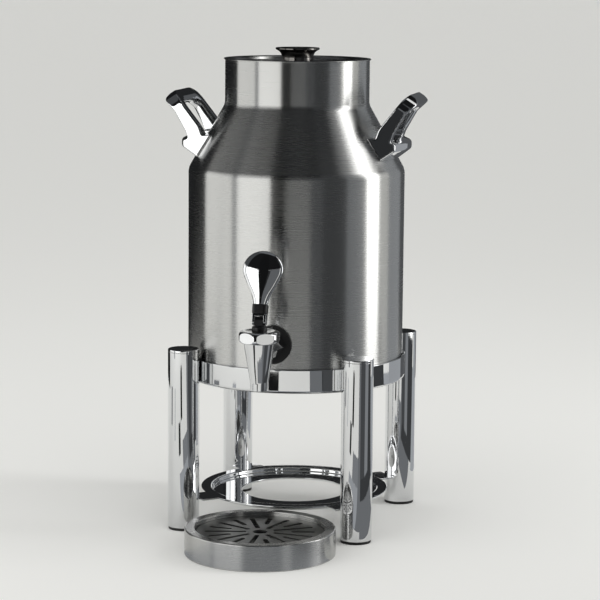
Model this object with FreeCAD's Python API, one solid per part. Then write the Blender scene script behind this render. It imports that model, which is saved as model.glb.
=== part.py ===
import FreeCAD
import Part
import math
import os

# A hot water urn with a lever tap, carried in a chromed four-legged stand above a burner plate, with a
# separate drip tray in front. Lengths are in millimetres and angles in degrees.
# The urn's axis is the line x = 0, y = 0, the table is z = 0 and the tap points towards -Y. The finished
# shapes move together at the end, which puts the origin under the middle of the whole object.

# Clearances
rest_gap = 0.05          # under a piece that lifts off its seat
slip_gap = 0.05          # radial, a plug, shank or flange in its hole
running_gap = 0.05       # radial, a shaft that turns or slides in its hole
soft_gap = 0.3           # between a soft or moving piece and its neighbour
band_slip = 0.6          # radial, the urn in the stand's band
hole_slip = 0.3          # radial, the handle screws in the urn's thin wall
collar_slip = 0.4        # radial, the lid's collar in the neck

# Roundings
full_round = 0.999       # of a half width, where an end is rounded all the way
screw_dome = 0.6         # of a pan head's height

# Urn shell
urn_r = 115.0
urn_wall = 1.2
body_height = 220.5      # from the urn's underside to the start of the shoulder
shoulder_height = 68.0
shoulder_blend = 14.0
neck_r = 76.5
neck_height = 47.0
neck_blend = 12.0
base_thickness = 1.5
base_flange_height = 10.0
base_edge_r = 1.2
base_bend_r = 2.0

# Stand
leg_count = 4
leg_r = 16.5
leg_wall = 2.0
stand_height = 193.0
stand_turn = -4.5        # the stand's quarter position about the urn's axis
cap_thickness = 3.0
cap_edge_r = 0.9
cap_plug_length = 33.0
plug_edge_r = 1.0
pad_thickness = 3.0
pad_inset = 0.6
pad_edge_r = 0.6
pad_plug_length = 9.0
band_below_top = 13.0    # the band's upper edge below the tops of the legs
band_height = 25.0
band_wall = 2.4
band_ledge = 12.0
band_edge_r = 3.4
saddle_depth = 1.0       # how far the band sits into each leg
band_screw_up = 14.0     # screw height above the band's lower face
band_screw_recess = 0.1  # screw face below the band's inner face
band_screw_r = 2.0
band_screw_head_r = 3.9
band_screw_head = 2.1
band_screw_length = 15.0

# Burner plate
plate_top = 32.5
plate_r = 100.8
plate_sheet = 2.0
recess_r = 88.7
recess_drop = 4.5
recess_edge_r = 2.2
burner_hole_r = 56.5
tab_width = 31.0
tenon_width = 14.0
tenon_length = 6.0

# Lid and knob
lid_overhang = 1.5       # the lid's rim beyond the neck
lid_sheet = 1.2
lid_rim_width = 9.0
lid_rim_edge_r = 1.8
lid_recess = 4.0
lid_recess_run = 2.5
lid_collar_depth = 13.0
lid_collar_wall = 1.2
lid_collar_edge_r = 0.5
knob_base_r = 17.0
knob_waist_r = 16.4
knob_top_r = 23.3
knob_height = 15.3
knob_flare_height = 5.6
knob_rim_height = 1.8
knob_dish_r = 20.0
knob_dish_depth = 1.2
knob_dish_run = 1.5
knob_flare_r = 7.5
knob_edge_r = 0.8
knob_screw_r = 2.5
knob_screw_head_r = 4.6
knob_screw_head = 3.2
knob_screw_length = 12.0
knob_washer_r = 9.0
knob_washer_thickness = 1.2

# Handles. The side view is measured from the anchor, outwards and up.
handle_up = 24.0         # handle anchor on the shoulder, above the shoulder's start
handle_half_width = 46.5
handle_lean = 33.0       # of the arms, from upright
handle_top = 62.0        # along the lean, from the anchor
handle_corner_r = 20.0
handle_bar = 15.0        # width of the loop's top bar along the lean
handle_arm = 16.0        # width of each arm across the loop
handle_window_r = 9.0
handle_root_out = 9.1    # outer face, where the arm leaves the foot
handle_root_up = 16.0
handle_knee_out = 21.0   # outer face, where the arm flares
handle_knee_up = 37.0
handle_knee_r = 8.0
handle_tip_out = 34.0
handle_tip_up = 48.4
handle_tip_r = 3.0
handle_crown_out = 26.4  # inner face, at the tip
handle_crown_up = 60.0
handle_back_out = 17.6   # inner face, where the arm flares
handle_back_up = 52.0
handle_inner_out = -6.0  # inner face, at the arm's root
handle_inner_up = 22.0
handle_inner_r = 14.0
handle_heel_lean = 20.0  # of the arms' hidden ends, from upright
handle_heel_drop = 20.0
handle_foot_reach = 20.6
handle_foot_drop = 11.0
handle_foot_top = 11.5
handle_foot_depth = 12.0
handle_foot_nose = 7.5   # height of the foot's upright front
handle_foot_toe = 0.5    # bottom of that front below the anchor
handle_foot_shelf = 9.0  # inner end of the foot's top
handle_foot_bottom = 6.6 # inner end of the foot's underside
handle_foot_edge_r = 4.0
handle_foot_nose_r = 3.0
handle_foot_soft_r = 2.0
handle_screw_r = 2.5
handle_screw_spread = 13.0   # each side of the handle's middle, about the urn's axis
handle_screw_length = 13.0
handle_screw_head_r = 4.5
handle_screw_head = 3.2
handle_washer_r = 7.0
handle_washer_thickness = 1.2

# Tap body, measured from the tap's inlet axis
tap_up = 48.5            # inlet height above the urn's underside
tap_reach = 62.0         # spout axis in front of the urn's wall
gasket_r = 20.0
gasket_thickness = 3.0
flange_thickness = 3.0
flange_half_height = 19.5
flange_half_width = 15.5
flange_diagonal = 13.4
neck_section_r = 9.6
inlet_shank_r = 9.0
inlet_bore_r = 6.5
inlet_washer_r = 14.0
inlet_washer_thickness = 3.0
inlet_tail = 3.0
nut_flats = 27.0
nut_thickness = 7.0
chamber_top_up = 12.0
chamber_top_r = 15.8
chamber_waist_up = -16.0
chamber_waist_r = 11.2
spout_r = 9.2
spout_up = -28.0
spout_tip_r = 8.9
spout_end_up = -36.5
spout_edge_r = 0.6
spout_bend_r = 30.0
chamber_bend_r = 40.0
neck_run_in = 0.9        # share of the neck's end radius that runs on into the chamber
chamber_bore_r = 9.0
seat_up = -20.0
outlet_bore_r = 6.5
collar_thread_r = 13.0
collar_thread_height = 6.0

# Bonnet, stem and lever
bonnet_r = 21.2
bonnet_flats = 38.4
bonnet_height = 12.4
bonnet_edge_r = 4.8
bonnet_rim_r = 15.0
bonnet_web = 2.0
bonnet_dish_depth = 3.4
bonnet_turn = 30.0
bonnet_guide_slip = 0.8  # radial, round the guide's foot
bonnet_stem_slip = 0.6   # radial, round the stem
bonnet_lip_r = 1.5
guide_r = 7.6
guide_height = 8.4
guide_taper = 1.6
guide_taper_height = 1.2
stem_r = 4.0
stem_block_width = 8.6
stem_block_r = 4.4
stem_flange_r = 7.4
stem_flange_thickness = 1.5
stem_tail_r = 3.0
stem_tail_length = 7.0
cup_r = 8.2
cup_height = 10.6
cup_skirt = 4.0
cup_neck_r = 5.6
cup_bend_r = 1.0
cup_floor = 3.6
spring_r = 6.0
spring_wire_r = 0.6
spring_turns = 6
pivot_up = 34.0          # pivot above the inlet axis
pivot_pin_r = 1.5
pin_slip = 0.01
lever_lean = 16.0        # backwards, from upright, with the tap closed
fork_slot = 9.2
fork_width = 14.0
fork_depth = 8.8
fork_ear_r = 4.2
fork_bridge = 2.6
fork_stud_r = 3.0
fork_stud_length = 20.0
fork_stud_root = 1.0      # of the stud, inside the fork's bridge
collar_width = 15.0
collar_depth = 12.6
collar_length = 9.2
collar_corner_r = 3.0
paddle_length = 54.5
paddle_foot_width = 14.4
paddle_foot_depth = 10.8
paddle_width = 41.0
paddle_depth = 11.6
paddle_flare = 0.35       # straight share of the paddle's swell
paddle_widest_down = 19.0    # widest place below the paddle's top
paddle_stud_depth = 10.0

# Drip tray
tray_r = 77.0
tray_height = 27.0
tray_sheet = 1.2
tray_rim_width = 10.5
tray_edge_r = 1.5
tray_gap = 0.8           # behind the tray, to the plate's recess wall
tray_ledge = 4.0
tray_seat_edge_r = 0.5   # in the corner that the grate drops into
tray_floor_up = 4.0
tray_floor_r = 3.0
grate_drop = 5.0         # grate surface below the tray's rim
grate_sheet = 1.5
grate_slip = 0.7
grate_slot_count = 18
grate_turn = 31.5
grate_slot_width = 5.0
grate_hole_r = 7.5
grate_long_start = 14.0
grate_long_end = 57.0
grate_short_start = 31.0
grate_short_end = 56.0

# Places that follow from the sizes above
band_bottom = stand_height - band_below_top - band_height
lid_r = neck_r + lid_overhang
band_inner_r = urn_r + band_slip
band_outer_r = band_inner_r + band_wall
leg_circle_r = band_outer_r + leg_r - saddle_depth
urn_bottom = band_bottom + band_wall + rest_gap
shoulder_z = urn_bottom + body_height
neck_z = shoulder_z + shoulder_height
neck_top = neck_z + neck_height
shoulder_slope = (urn_r - neck_r) / shoulder_height
lid_under = neck_top + rest_gap
lid_dish_top = lid_under + lid_sheet - lid_recess
tap_z = urn_bottom + tap_up
spout_y = -(urn_r + tap_reach)
tray_y = -(recess_r + plate_sheet + tray_gap + tray_r)
pivot_z = tap_z + pivot_up
leg_names = ["front_left", "front_right", "back_right", "back_left"]

UP = FreeCAD.Vector(0, 0, 1)
FORWARD = FreeCAD.Vector(0, -1, 0)
ORIGIN = FreeCAD.Vector(0, 0, 0)
URN_AXIS = (ORIGIN, UP)


def in_xz(a, b):
    """Point of a profile drawn in the XZ plane."""
    return FreeCAD.Vector(a, 0, b)


def in_yz(a, b):
    """Point of a profile drawn in the YZ plane."""
    return FreeCAD.Vector(0, a, b)


def in_xy(a, b):
    """Point of an outline drawn in the XY plane."""
    return FreeCAD.Vector(a, b, 0)


def unit(start, end):
    """Direction from one profile point to another, as a pair."""
    length = math.hypot(end[0] - start[0], end[1] - start[1])
    return ((end[0] - start[0]) / length, (end[1] - start[1]) / length)


def rounded_wire(corners, plane=in_xz):
    """Closed wire through corners (a, b) or (a, b, radius), with a tangent arc at each radius."""
    edges = []
    stretches = []
    count = len(corners)
    for i in range(count):
        here = corners[i]
        radius = here[2] if len(here) > 2 else 0.0
        if radius <= 0:
            stretches.append((plane(here[0], here[1]), None, plane(here[0], here[1])))
            continue
        back = unit(here, corners[i - 1])
        ahead = unit(here, corners[(i + 1) % count])
        half = math.acos(max(-1.0, min(1.0, back[0] * ahead[0] + back[1] * ahead[1]))) / 2
        middle = unit((0, 0), (back[0] + ahead[0], back[1] + ahead[1]))
        cut = radius / math.tan(half)
        reach = radius / math.sin(half) - radius
        stretches.append((plane(here[0] + back[0] * cut, here[1] + back[1] * cut),
                          plane(here[0] + middle[0] * reach, here[1] + middle[1] * reach),
                          plane(here[0] + ahead[0] * cut, here[1] + ahead[1] * cut)))
    for i in range(count):
        start, bend, end = stretches[i]
        if bend is not None:
            edges.append(Part.Arc(start, bend, end).toShape())
        following = stretches[(i + 1) % count][0]
        if end.distanceToPoint(following) > 1e-6:
            edges.append(Part.LineSegment(end, following).toShape())
    return Part.Wire(edges)


def sheet_corners(path, thickness):
    """Corners of a sheet's section: one face follows the path, the other lies to its left."""
    far = []
    last = len(path) - 1
    for i, point in enumerate(path):
        radius = point[2] if len(point) > 2 else 0.0
        before = unit(path[i - 1], point) if i > 0 else unit(point, path[i + 1])
        after = unit(point, path[i + 1]) if i < last else before
        share = thickness / (1 + before[0] * after[0] + before[1] * after[1])
        turn = before[0] * after[1] - before[1] * after[0]
        if radius > 0:
            radius = max(radius - thickness, 0) if turn > 0 else radius + thickness
        across = (before[1] + after[1]) * share
        up = (before[0] + after[0]) * share
        far.append((point[0] - across, point[1] + up, radius))
    return list(path) + far[::-1]


def turned(corners, axis=URN_AXIS):
    """Solid of revolution of a profile drawn in the XZ plane, about the Z axis or a line parallel to it."""
    solid = Part.Face(rounded_wire(corners)).revolve(ORIGIN, UP, 360)
    return solid.translated(axis[0])


def cylinder(radius, height, base=ORIGIN, direction=UP):
    """Cylinder from a base point along a direction."""
    return Part.makeCylinder(radius, height, base, direction)


def placed(shape, point, direction):
    """Copy of a shape built along +Z from the origin, turned to a direction and moved to a point."""
    return shape.transformed(FreeCAD.Placement(point, FreeCAD.Rotation(UP, direction)).toMatrix())


def hexagon(flats, thickness):
    """Hexagonal prism along +Z, with two flats across X."""
    corner = flats / 2 / math.cos(math.radians(30))
    angles = [math.radians(30 + 60 * k) for k in range(6)]
    points = [(corner * math.cos(a), corner * math.sin(a)) for a in angles]
    return Part.Face(rounded_wire(points, in_xy)).extrude(UP * thickness)


def one_solid(shape):
    """The single solid that a boolean operation left, without its compound."""
    clean = shape.removeSplitter()
    solids = clean.Solids
    if len(solids) != 1:
        raise ValueError("expected one solid, found %d" % len(solids))
    return solids[0]


def round_direction(azimuth):
    """Horizontal direction at an angle from -Y towards +X."""
    return FreeCAD.Vector(math.sin(math.radians(azimuth)), -math.cos(math.radians(azimuth)), 0)


def leg_directions():
    """Direction from the urn's axis to each leg, in the order of leg_names."""
    step = 360.0 / leg_count
    return [round_direction(stand_turn - step / 2 + step * k) for k in range(leg_count)]


def disc_washer(hole_r, outer_r, thickness):
    """Flat washer along +Z."""
    return cylinder(outer_r, thickness).cut(cylinder(hole_r, thickness))


def pan_screw(shank_r, shank_length, head_r, head_height):
    """Domed screw along +Z, with the underside of its head at the origin."""
    return turned([(0, -head_height), (head_r, -head_height, head_height * screw_dome), (head_r, 0), (shank_r, 0),
                   (shank_r, shank_length), (0, shank_length)])


# Stand

def leg_tube(direction):
    """Chromed tube, saddled to the band and slotted for the plate's tenon."""
    foot = direction * leg_circle_r
    low = FreeCAD.Vector(foot.x, foot.y, pad_thickness)
    length = stand_height - cap_thickness - pad_thickness
    tube = cylinder(leg_r, length, low).cut(cylinder(leg_r - leg_wall, length, low))
    band_space = cylinder(band_outer_r + slip_gap, band_height, FreeCAD.Vector(0, 0, band_bottom))
    slot = radial_box(direction, leg_circle_r - 1.5 * leg_r, leg_circle_r - leg_r / 2,
                      tenon_width + 2 * slip_gap, plate_top - plate_sheet - slip_gap, plate_top + slip_gap)
    start = direction * band_inner_r + screw_height()
    screw_hole = cylinder(band_screw_r + slip_gap, leg_r, start, direction)
    return one_solid(tube.cut(band_space).cut(slot).cut(screw_hole))


def screw_height():
    """Height of the band's screws."""
    return FreeCAD.Vector(0, 0, band_bottom + band_screw_up)


def radial_box(direction, inner, outer, width, low, high):
    """Upright box that runs outwards from the urn's axis, centred on a direction."""
    side = FreeCAD.Vector(-direction.y, direction.x, 0) * (width / 2)
    up = UP * low
    points = [direction * inner - side + up, direction * outer - side + up,
              direction * outer + side + up, direction * inner + side + up]
    return Part.Face(Part.makePolygon(points + points[:1])).extrude(UP * (high - low))


def leg_cap(direction):
    """Flat turned cap, with a long plug that the band's screw threads into."""
    top = stand_height
    under = top - cap_thickness
    plug_r = leg_r - leg_wall - slip_gap
    cap = turned([(0, under - cap_plug_length), (plug_r, under - cap_plug_length, plug_edge_r),
                  (plug_r, under), (leg_r, under), (leg_r, top, cap_edge_r), (0, top)],
                 (direction * leg_circle_r, UP))
    band_space = cylinder(band_outer_r + slip_gap, band_height, FreeCAD.Vector(0, 0, band_bottom))
    start = direction * band_outer_r + screw_height()
    thread = cylinder(band_screw_r + slip_gap, band_screw_length, start, direction)
    return one_solid(cap.cut(thread).cut(band_space))


def foot_pad(direction):
    """Black pad under a leg, with a plug that holds it in the tube."""
    pad_r = leg_r - pad_inset
    plug_r = leg_r - leg_wall - slip_gap
    top = pad_thickness + pad_plug_length
    return turned([(0, 0), (pad_r, 0, pad_edge_r), (pad_r, pad_thickness), (plug_r, pad_thickness),
                   (plug_r, top, plug_edge_r), (0, top)], (direction * leg_circle_r, UP))


def countersunk(grow):
    """Countersunk screw along +Z with its face at the origin, or its hole when grown."""
    head_r = band_screw_head_r + grow
    shank_r = band_screw_r + grow
    tip = band_screw_length - band_wall / 2
    return turned([(0, 0), (head_r, 0), (shank_r, band_screw_head), (shank_r, tip), (0, tip)])


def band_screw_places():
    """Point on the band's inner face and direction of each band screw."""
    return [(d * (band_inner_r + band_screw_recess) + screw_height(), d) for d in leg_directions()]


def support_band():
    """Rolled band round the urn's foot, with the inner ledge that carries the urn."""
    path = [(band_outer_r - band_ledge, band_bottom), (band_outer_r, band_bottom, band_edge_r),
            (band_outer_r, band_bottom + band_height)]
    band = turned(sheet_corners(path, band_wall))
    for point, direction in band_screw_places():
        band = band.cut(placed(countersunk(slip_gap), point - direction * slip_gap, direction))
        back = point - direction * band_wall
        band = band.cut(cylinder(band_screw_head_r + slip_gap, band_wall, back, direction))
    return one_solid(band)


def band_screws():
    """Four countersunk screws that hold the band to the legs."""
    return [placed(countersunk(0), point, direction) for point, direction in band_screw_places()]


def burner_plate():
    """Pressed plate with a stepped recess, a burner hole and a tab to each leg."""
    path = [(plate_r, plate_top), (recess_r, plate_top, recess_edge_r),
            (recess_r, plate_top - recess_drop, recess_edge_r), (burner_hole_r, plate_top - recess_drop)]
    plate = turned(sheet_corners(path, plate_sheet))
    low = plate_top - plate_sheet
    start = (plate_r + recess_r) / 2
    for direction in leg_directions():
        tab = radial_box(direction, start, leg_circle_r, tab_width, low, plate_top)
        centre = direction * leg_circle_r
        tab = tab.cut(cylinder(leg_r + slip_gap, plate_top, centre))
        inner_face = leg_circle_r - leg_r
        tenon = radial_box(direction, start, inner_face + tenon_length, tenon_width, low, plate_top)
        plate = plate.fuse(tab).fuse(tenon)
    return one_solid(plate)


# Urn

def shoulder_r(z):
    """Outer radius of the cone at a height."""
    return urn_r - (z - shoulder_z) * shoulder_slope


def shell_path():
    """Outer face of the urn's wall from the base to the rim."""
    return [(urn_r, urn_bottom + base_thickness), (urn_r, shoulder_z, shoulder_blend),
            (neck_r, neck_z, neck_blend), (neck_r, neck_top)]


def urn_solid():
    """The urn's outer form, filled, to cut what seats on it."""
    outer = shell_path()
    return turned(outer + [(0, neck_top), (0, outer[0][1])])


def handle_frame():
    """Anchor of the right handle on the shoulder, and the shoulder's outward normal there."""
    z = shoulder_z + handle_up
    slope = math.atan(shoulder_slope)
    return FreeCAD.Vector(shoulder_r(z), 0, z), FreeCAD.Vector(math.cos(slope), 0, math.sin(slope))


def handle_screw_places():
    """Point on the outer wall and outward direction of each of the four handle screws."""
    anchor, normal = handle_frame()
    places = []
    for side in (0, 180):
        for spread in (-handle_screw_spread, handle_screw_spread):
            turn = FreeCAD.Rotation(UP, side + spread)
            places.append((turn.multVec(anchor), turn.multVec(normal)))
    return places


def urn_shell():
    """Brushed steel wall: straight body, conical shoulder and neck, pierced for the tap and handles."""
    shell = turned(sheet_corners(shell_path(), urn_wall))
    inside = FreeCAD.Vector(0, -urn_r / 2, tap_z)
    shell = shell.cut(cylinder(inlet_shank_r + slip_gap, urn_r, inside, FORWARD))
    for point, normal in handle_screw_places():
        start = point - normal * urn_wall * 4
        shell = shell.cut(cylinder(handle_screw_r + hole_slip, urn_wall * 8, start, normal))
    return one_solid(shell)


def urn_base():
    """Base disc under the wall, with an upturned flange inside it."""
    low = urn_bottom
    mid = urn_bottom + base_thickness
    flange_out = urn_r - urn_wall - slip_gap
    flange_in = flange_out - base_thickness
    return turned([(0, low), (urn_r, low, base_edge_r), (urn_r, mid), (flange_out, mid),
                   (flange_out, mid + base_flange_height), (flange_in, mid + base_flange_height),
                   (flange_in, mid, base_bend_r), (0, mid)])


def handle_side():
    """Side view of the arms and top bar, as offsets from the anchor: a straight lean and an outward flare."""
    low = handle_root_up - handle_heel_drop
    slope = math.tan(math.radians(handle_heel_lean))
    return [(handle_root_out - handle_heel_drop * slope, low), (handle_root_out, handle_root_up),
            (handle_knee_out, handle_knee_up, handle_knee_r), (handle_tip_out, handle_tip_up, handle_tip_r),
            (handle_crown_out, handle_crown_up, handle_tip_r),
            (handle_back_out, handle_back_up, handle_knee_r),
            (handle_inner_out, handle_inner_up, handle_inner_r),
            (handle_inner_out - (handle_inner_up - low) * slope, low)]


def handle_outline(half_width, top, corner_r):
    """Outline of the loop or of its window, seen along the arms' flat faces, with its open end down."""
    return Part.Face(rounded_wire([(-half_width, -handle_top), (half_width, -handle_top),
                                   (half_width, top, corner_r), (-half_width, top, corner_r)], in_yz))


def handle_loop(anchor):
    """Leaning closed loop: the side view carried across, trimmed to the outline, with the window cut out."""
    half = handle_half_width
    side = [(anchor.x + p[0], anchor.z + p[1]) + tuple(p[2:]) for p in handle_side()]
    bars = Part.Face(rounded_wire(side)).extrude(FreeCAD.Vector(0, 2 * half, 0))
    bars = bars.translated(FreeCAD.Vector(0, -half, 0))
    through = FreeCAD.Vector(4 * handle_top, 0, 0)
    frame = FreeCAD.Placement(anchor, FreeCAD.Rotation(FreeCAD.Vector(0, 1, 0), handle_lean)).toMatrix()
    outline = handle_outline(half, handle_top, handle_corner_r)
    window = handle_outline(half - handle_arm, handle_top - handle_bar, handle_window_r)
    outline = outline.extrude(through).translated(through * -0.5).transformed(frame)
    window = window.extrude(through).translated(through * -0.5).transformed(frame)
    return bars.common(outline).cut(window)


def handle_foot(anchor):
    """Saddle foot turned about the urn's axis, as wide as the loop."""
    half = handle_half_width
    front = anchor.x + handle_foot_reach
    back = anchor.x - handle_foot_depth
    toe = anchor.z - handle_foot_toe
    ring = turned([(back, anchor.z - handle_foot_drop - handle_foot_soft_r),
                   (anchor.x + handle_foot_bottom, anchor.z - handle_foot_drop, handle_foot_soft_r),
                   (front, toe, handle_foot_edge_r),
                   (front, toe + handle_foot_nose, handle_foot_nose_r),
                   (anchor.x + handle_foot_shelf, anchor.z + handle_foot_top, handle_foot_soft_r),
                   (back, anchor.z + handle_foot_top + handle_foot_soft_r)])
    corner = FreeCAD.Vector(anchor.x * 0.5, -half, anchor.z - urn_r)
    sector = Part.makeBox(urn_r * 2, 2 * half, urn_r * 2, corner)
    return ring.common(sector)


def handle_right():
    """Closed loop handle with a saddle foot that seats on the shoulder."""
    anchor = handle_frame()[0]
    handle = handle_loop(anchor).fuse(handle_foot(anchor)).cut(urn_solid())
    for point, direction in handle_screw_places()[:2]:
        hole = cylinder(handle_screw_r + slip_gap, handle_screw_length, point - direction, direction)
        handle = handle.cut(hole)
    return one_solid(handle)


def handle_left():
    """The same handle on the other side."""
    return handle_right().rotated(ORIGIN, UP, 180)


def handle_washers():
    """Four washers inside the shoulder, under the handle screws."""
    washer = disc_washer(handle_screw_r + slip_gap, handle_washer_r, handle_washer_thickness)
    depth = urn_wall + curve_relief() + handle_washer_thickness
    return [placed(washer, point - normal * depth, normal) for point, normal in handle_screw_places()]


def curve_relief():
    """Gap that a flat washer needs inside the curved wall."""
    return handle_washer_r ** 2 / (2 * neck_r)


def handle_screws():
    """Four screws from inside the urn into the handles."""
    screw = pan_screw(handle_screw_r, handle_screw_length, handle_screw_head_r, handle_screw_head)
    depth = urn_wall + curve_relief() + handle_washer_thickness
    return [placed(screw, point - normal * depth, normal) for point, normal in handle_screw_places()]


# Lid

def lid_plate():
    """Pressed lid: flat rim and a recessed middle."""
    top = lid_under + lid_sheet
    inner = lid_r - lid_rim_width
    path = [(lid_r, top), (inner, top, lid_rim_edge_r),
            (inner - lid_recess_run, lid_dish_top, lid_rim_edge_r), (knob_screw_r + slip_gap, lid_dish_top)]
    return turned(sheet_corners(path, lid_sheet))


def lid_collar():
    """Ring under the lid that drops into the neck."""
    outer = neck_r - urn_wall - collar_slip
    inner = outer - lid_collar_wall
    low = lid_under - lid_collar_depth
    return turned([(inner, low), (outer, low, lid_collar_edge_r), (outer, lid_under), (inner, lid_under)])


def lid_knob():
    """Flared knob with a dished top."""
    low = lid_dish_top
    top = low + knob_height
    knob = turned([(0, low), (knob_base_r, low), (knob_waist_r, top - knob_flare_height, knob_flare_r),
                   (knob_top_r, top - knob_rim_height), (knob_top_r, top, knob_edge_r),
                   (knob_dish_r, top, knob_edge_r), (knob_dish_r - knob_dish_run, top - knob_dish_depth),
                   (0, top - knob_dish_depth)])
    hole = cylinder(knob_screw_r + slip_gap, knob_screw_length, FreeCAD.Vector(0, 0, low - lid_sheet))
    return one_solid(knob.cut(hole))


def knob_washer():
    """Washer under the lid's middle."""
    washer = disc_washer(knob_screw_r + slip_gap, knob_washer_r, knob_washer_thickness)
    return washer.translated(FreeCAD.Vector(0, 0, lid_dish_top - lid_sheet - knob_washer_thickness))


def knob_screw():
    """Screw from under the lid into the knob."""
    screw = pan_screw(knob_screw_r, knob_screw_length, knob_screw_head_r, knob_screw_head)
    return screw.translated(FreeCAD.Vector(0, 0, lid_dish_top - lid_sheet - knob_washer_thickness))


# Tap

def tap_point(y, up):
    """Point on the urn's middle plane, at a height above the inlet axis."""
    return FreeCAD.Vector(0, y, tap_z + up)


def tap_gasket():
    """Black gasket between the urn's curved wall and the tap's flange."""
    back = -math.sqrt(urn_r ** 2 - gasket_r ** 2) + gasket_thickness
    front = -(urn_r + gasket_thickness)
    gasket = cylinder(gasket_r, back - front, tap_point(back, 0), FORWARD)
    gasket = gasket.cut(cylinder(urn_r, 4 * gasket_r, FreeCAD.Vector(0, 0, tap_z - 2 * gasket_r)))
    return one_solid(gasket.cut(cylinder(inlet_shank_r + slip_gap, urn_r, tap_point(-urn_r / 2, 0), FORWARD)))


def facet_section(y, across, diagonal, tall):
    """Eight-sided section across the tap's inlet axis."""
    radii = [across, diagonal, tall, diagonal, across, diagonal, tall, diagonal]
    points = []
    for k, radius in enumerate(radii):
        angle = math.radians(45 * k)
        points.append(FreeCAD.Vector(radius * math.cos(angle), y, tap_z + radius * math.sin(angle)))
    return Part.makePolygon(points + points[:1])


def tap_body():
    """Chromed tap casting: threaded inlet shank, faceted neck and tapering spout."""
    flange_back = -(urn_r + gasket_thickness)
    flange_front = flange_back - flange_thickness
    plate = Part.Face(facet_section(flange_back, flange_half_width, flange_diagonal, flange_half_height))
    plate = plate.extrude(FORWARD * flange_thickness)
    start = facet_section(flange_front, flange_half_width, flange_diagonal, flange_half_height)
    inside = spout_y + neck_section_r * neck_run_in
    end = facet_section(inside, neck_section_r, neck_section_r, neck_section_r)
    neck = Part.makeLoft([start, end], True, True)
    tail = -(urn_r - urn_wall - inlet_washer_thickness - nut_thickness - inlet_tail)
    shank = cylinder(inlet_shank_r, tail - flange_back, tap_point(tail, 0), FORWARD)
    top = tap_z + chamber_top_up
    low = tap_z + spout_end_up
    chamber = turned([(0, low), (spout_tip_r, low, spout_edge_r), (spout_r, tap_z + spout_up, spout_bend_r),
                      (chamber_waist_r, tap_z + chamber_waist_up, chamber_bend_r),
                      (chamber_top_r, top), (collar_thread_r, top),
                      (collar_thread_r, top + collar_thread_height),
                      (0, top + collar_thread_height)], (FreeCAD.Vector(0, spout_y, 0), UP))
    body = plate.fuse(neck).fuse(shank).fuse(chamber)
    bore = cylinder(chamber_bore_r, tap_reach, tap_point(spout_y, seat_up))
    outlet = cylinder(outlet_bore_r, tap_reach, tap_point(spout_y, spout_end_up))
    inlet = cylinder(inlet_bore_r, tail - spout_y, tap_point(tail, 0), FORWARD)
    return one_solid(body.cut(bore).cut(outlet).cut(inlet))


def tap_inner_washer():
    """Soft washer inside the urn, shaped to the wall."""
    back = -(urn_r - urn_wall - inlet_washer_thickness)
    low = FreeCAD.Vector(0, 0, tap_z - 2 * inlet_washer_r)
    washer = cylinder(inlet_washer_r, 2 * inlet_washer_thickness, tap_point(back, 0), FORWARD)
    washer = washer.common(cylinder(urn_r - urn_wall - slip_gap, 4 * inlet_washer_r, low))
    hole = cylinder(inlet_shank_r + slip_gap, urn_r, tap_point(back + urn_r / 2, 0), FORWARD)
    return one_solid(washer.cut(hole))


def tap_lock_nut():
    """Hexagonal nut that pulls the tap to the wall."""
    back = -(urn_r - urn_wall - inlet_washer_thickness - nut_thickness)
    nut = hexagon(nut_flats, nut_thickness).cut(cylinder(inlet_shank_r + slip_gap, nut_thickness))
    return placed(nut, tap_point(back, 0), FORWARD)


def tap_bonnet():
    """Hexagonal cap with rounded corners, screwed on the chamber's collar."""
    low = chamber_top_up
    top = low + bonnet_height
    web_top = top - bonnet_dish_depth
    web_low = web_top - bonnet_web
    thread_r = collar_thread_r + slip_gap
    ring = turned([(thread_r, low), (bonnet_r, low, bonnet_edge_r), (bonnet_r, top, bonnet_edge_r),
                   (bonnet_rim_r, top, bonnet_lip_r), (guide_r + bonnet_guide_slip, web_top),
                   (stem_r + bonnet_stem_slip, web_top), (stem_r + bonnet_stem_slip, web_low),
                   (thread_r, web_low)])
    prism = hexagon(bonnet_flats, bonnet_height).translated(UP * low)
    bonnet = one_solid(ring.common(prism))
    turn = FreeCAD.Rotation(UP, bonnet_turn)
    return bonnet.transformed(FreeCAD.Placement(tap_point(spout_y, 0), turn).toMatrix())


def guide_low():
    """Height of the stem guide's underside above the inlet axis."""
    return chamber_top_up + bonnet_height - bonnet_dish_depth


def stem_guide():
    """Black bush in the bonnet's dish that the stem slides in."""
    low = guide_low()
    top = low + guide_height
    guide = turned([(stem_r + running_gap, low), (guide_r, low), (guide_r, top - guide_taper_height),
                    (guide_r - guide_taper, top), (stem_r + running_gap, top)])
    return guide.translated(tap_point(spout_y, 0))


def cup_low():
    """Height of the seat cup's underside above the inlet axis, with the tap closed."""
    return seat_up + soft_gap


def seat_cup():
    """Soft cup that closes the outlet."""
    low = cup_low()
    top = low + cup_height
    hole = stem_tail_r + slip_gap
    cup = turned([(0, low), (cup_r, low), (cup_r, low + cup_skirt, cup_bend_r), (cup_neck_r, top),
                  (hole, top), (hole, low + cup_floor), (0, low + cup_floor)])
    return cup.translated(tap_point(spout_y, 0))


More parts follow.
